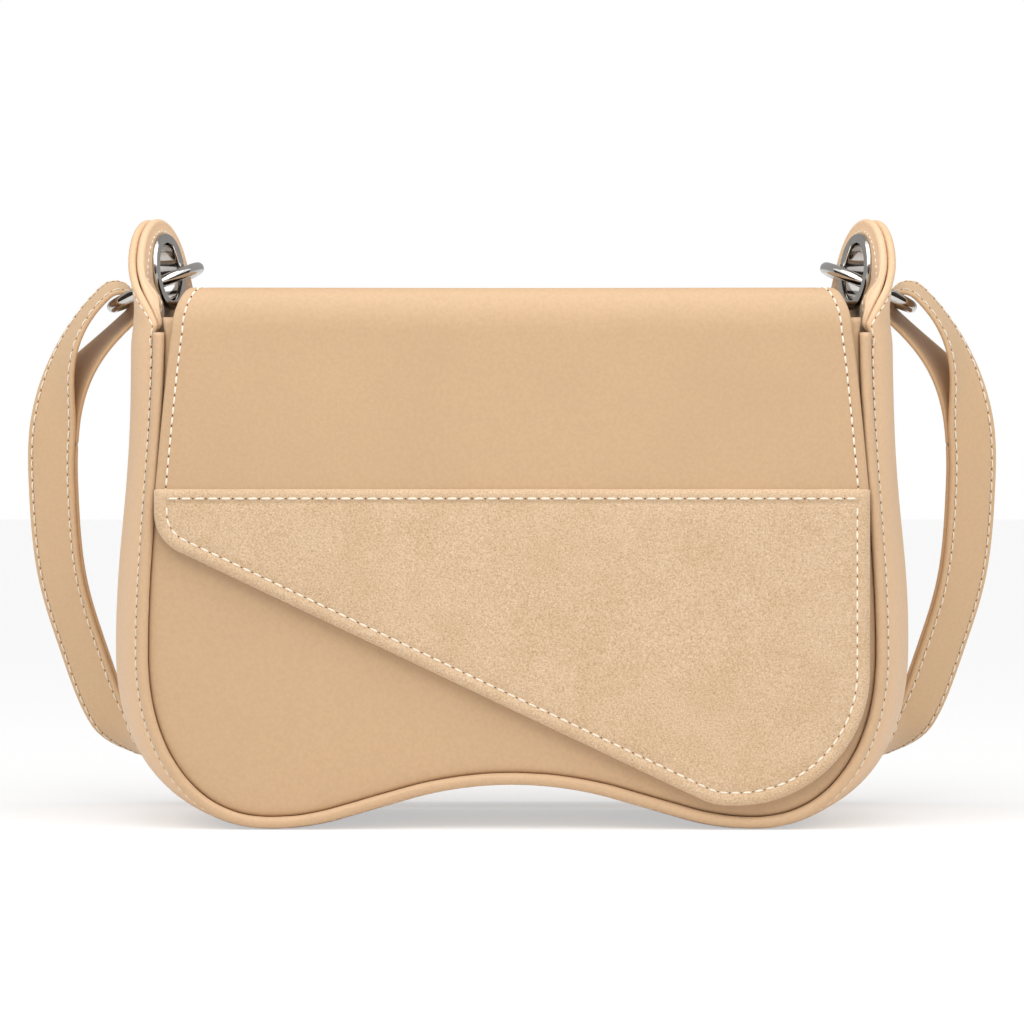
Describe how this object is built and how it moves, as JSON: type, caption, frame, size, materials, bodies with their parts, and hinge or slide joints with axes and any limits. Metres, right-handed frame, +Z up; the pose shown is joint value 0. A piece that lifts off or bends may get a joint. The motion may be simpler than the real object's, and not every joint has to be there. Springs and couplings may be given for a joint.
{
  "type": "saddle handbag",
  "caption": "Small saddle handbag with an arched base, a fold-over flap with a slanting suede panel, two grommeted ears with rings, and a short strap hanging behind.",
  "frame": {"origin": "bottom centre of the whole part's box, on the floor under the two lobes", "axes": "+X to the right seen from the front, +Y to the back, where the strap hangs, +Z up"},
  "size_m": [0.3162, 0.0958, 0.1906],
  "materials": {
    "smooth_leather": "smooth, satin",
    "suede": "suede, matt, mottled",
    "rim_leather": "smooth, satin",
    "ear_leather": "smooth, satin",
    "strap_leather": "smooth, satin",
    "lining": "woven, matt",
    "board": "stiffening board, matt",
    "piping_cord": "twisted cord, matt",
    "magnet": "plated",
    "grommet_metal": "dark nickel, polished",
    "washer_metal": "nickel, polished",
    "ring_metal": "nickel, polished"
  },
  "bodies": {
    "bag": {"front_panel": "smooth_leather", "front_board": "board", "front_lining": "lining", "front_magnet": "magnet", "back_panel": "smooth_leather", "back_board": "board", "back_lining": "lining", "gusset": "smooth_leather", "gusset_lining": "lining", "front_rim": "rim_leather", "front_rim_cord": "piping_cord", "back_rim": "rim_leather", "back_rim_cord": "piping_cord", "left_ear_outer": "ear_leather", "left_ear_board": "board", "left_ear_facing": "ear_leather", "right_ear_outer": "ear_leather", "right_ear_board": "board", "right_ear_facing": "ear_leather", "left_grommet": "grommet_metal", "left_grommet_washer": "washer_metal", "right_grommet": "grommet_metal", "right_grommet_washer": "washer_metal", "flap_anchor": "smooth_leather"},
    "flap": {"flap_upper": "smooth_leather", "flap_suede": "suede", "flap_board": "board", "flap_lining": "lining", "flap_magnet": "magnet"},
    "strap": {"strap_outer": "strap_leather", "strap_inner": "strap_leather"},
    "left_ring": {"left_ring": "ring_metal"},
    "right_ring": {"right_ring": "ring_metal"}
  },
  "joints": [
    {"name": "flap_hinge", "type": "hinge", "parent": "bag", "child": "flap", "pos_m": [0, 0.02105, 0.1668], "axis": [-1, 0, 0], "range_deg": [0, 100]},
    {"name": "strap_swing", "type": "hinge", "parent": "bag", "child": "strap", "pos_m": [0, -0.01105, 0.1734], "axis": [1, 0, 0], "range_deg": [0, 160]},
    {"name": "left_ring_turn", "type": "hinge", "parent": "bag", "child": "left_ring", "pos_m": [-0.112, -0.01105, 0.1734], "axis": [1, 0, 0], "range_deg": [0, 160]},
    {"name": "right_ring_turn", "type": "hinge", "parent": "bag", "child": "right_ring", "pos_m": [0.112, -0.01105, 0.1734], "axis": [1, 0, 0], "range_deg": [0, 160]}
  ],
  "couplings": [
    {"joint": "left_ring_turn", "follows": "strap_swing", "ratio": 1},
    {"joint": "right_ring_turn", "follows": "strap_swing", "ratio": 1}
  ]
}
